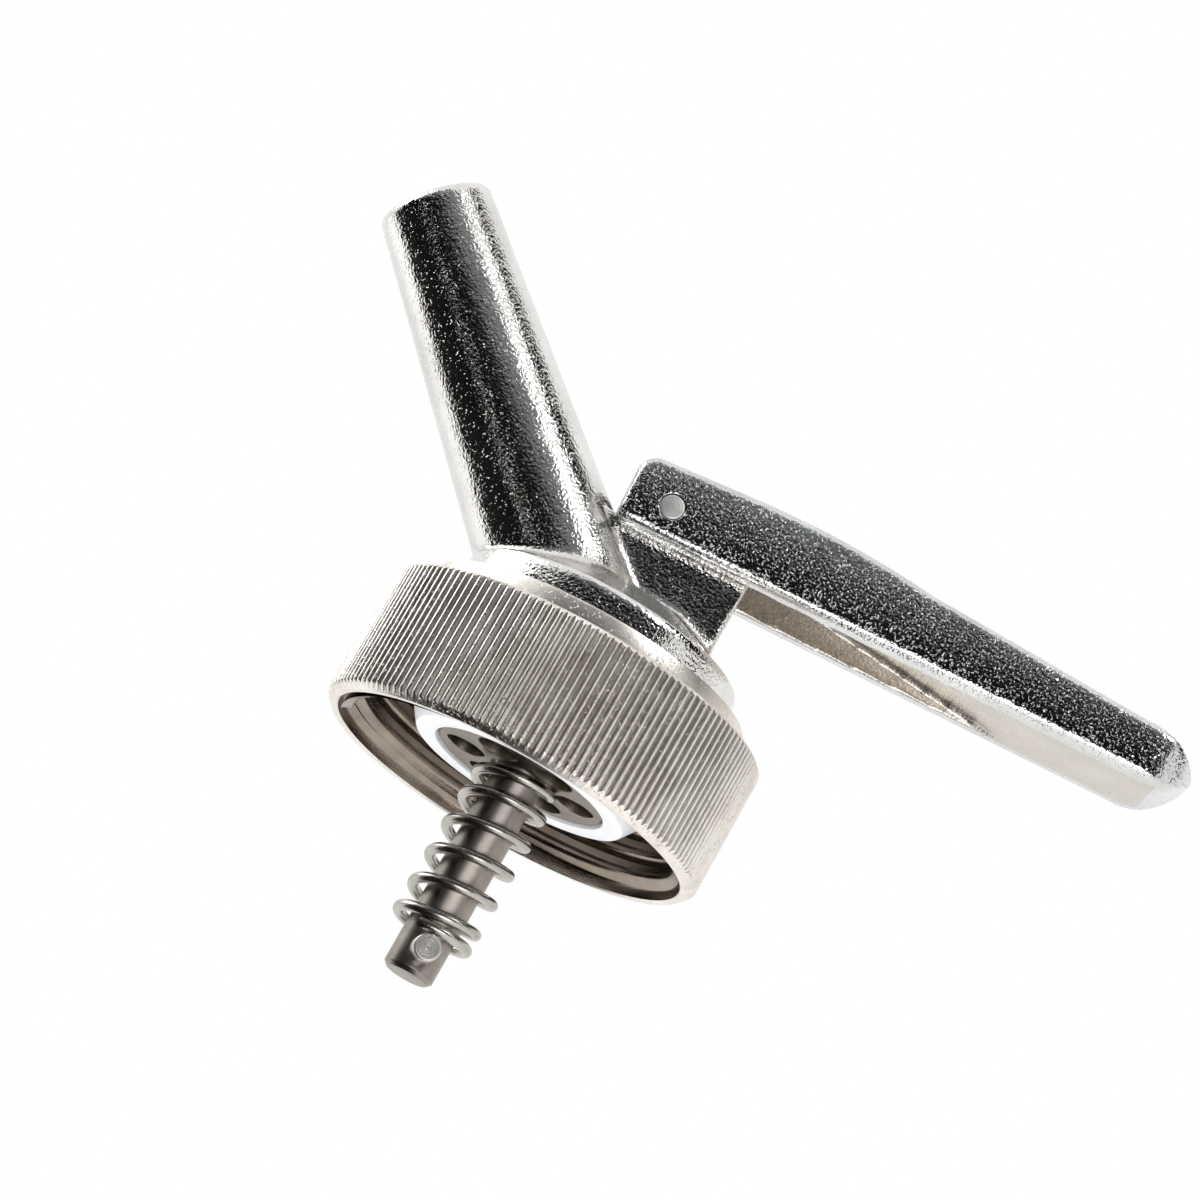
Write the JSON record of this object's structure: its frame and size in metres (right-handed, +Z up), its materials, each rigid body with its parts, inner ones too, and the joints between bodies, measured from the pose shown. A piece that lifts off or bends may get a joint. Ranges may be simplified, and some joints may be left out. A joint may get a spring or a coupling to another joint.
{
  "type": "dosing tap",
  "caption": "Self-closing lever tap for a canister neck: cast body with slanted spout, knurled union nut, cone seal, perforated valve insert and spring-loaded stem.",
  "frame": {"origin": "on the stem axis in the plane of the union nut's mouth, where the container's neck enters", "axes": "+Z up the stem axis from the container to the lever, +X along the lever, the spout leans to -X"},
  "size_m": [0.1379, 0.058, 0.1041],
  "materials": {
    "cast_nickel": "nickel-plated sand-cast brass, bright and grainy",
    "turned_nickel": "nickel-plated turned brass, satin",
    "plain_brass": "turned brass",
    "stainless": "turned stainless steel",
    "spring_steel": "bright drawn stainless wire",
    "seal_plastic": "white moulded polyethylene",
    "guide_plastic": "natural PTFE",
    "rubber": "black fluoro-rubber"
  },
  "bodies": {
    "tap_body": {"body_casting": "cast_nickel", "cone_seal": "seal_plastic", "valve_insert": "turned_nickel", "stem_guide": "guide_plastic", "lower_o_ring": "rubber", "gland_spacer": "plain_brass", "upper_o_ring": "rubber", "gland_bush": "plain_brass", "return_spring": "spring_steel"},
    "nut": {"union_nut": "turned_nickel"},
    "stem": {"valve_stem": "stainless", "valve_washer": "rubber", "valve_disc": "plain_brass", "stem_clip": "spring_steel", "spring_cross_pin": "stainless"},
    "handle": {"lever": "cast_nickel", "link_pin": "stainless"}
  },
  "joints": [
    {"name": "nut_spin", "type": "hinge", "parent": "tap_body", "child": "nut", "pos_m": [0, 0, 0.01], "axis": [0, 0, 1], "continuous": true},
    {"name": "stem_lift", "type": "slide", "parent": "tap_body", "child": "stem", "axis": [0, 0, 1], "range_m": [0, 0.0043], "deforming": ["return_spring"]},
    {"name": "lever_press", "type": "hinge", "parent": "stem", "child": "handle", "pos_m": [0, 0, 0.0453], "axis": [0, 1, 0], "range_deg": [0, 18], "stiffness_Nm_per_rad": 1.72, "springref_deg": -18.91}
  ],
  "couplings": [
    {"joint": "stem_lift", "follows": "lever_press", "m_per_rad": 0.01354}
  ]
}
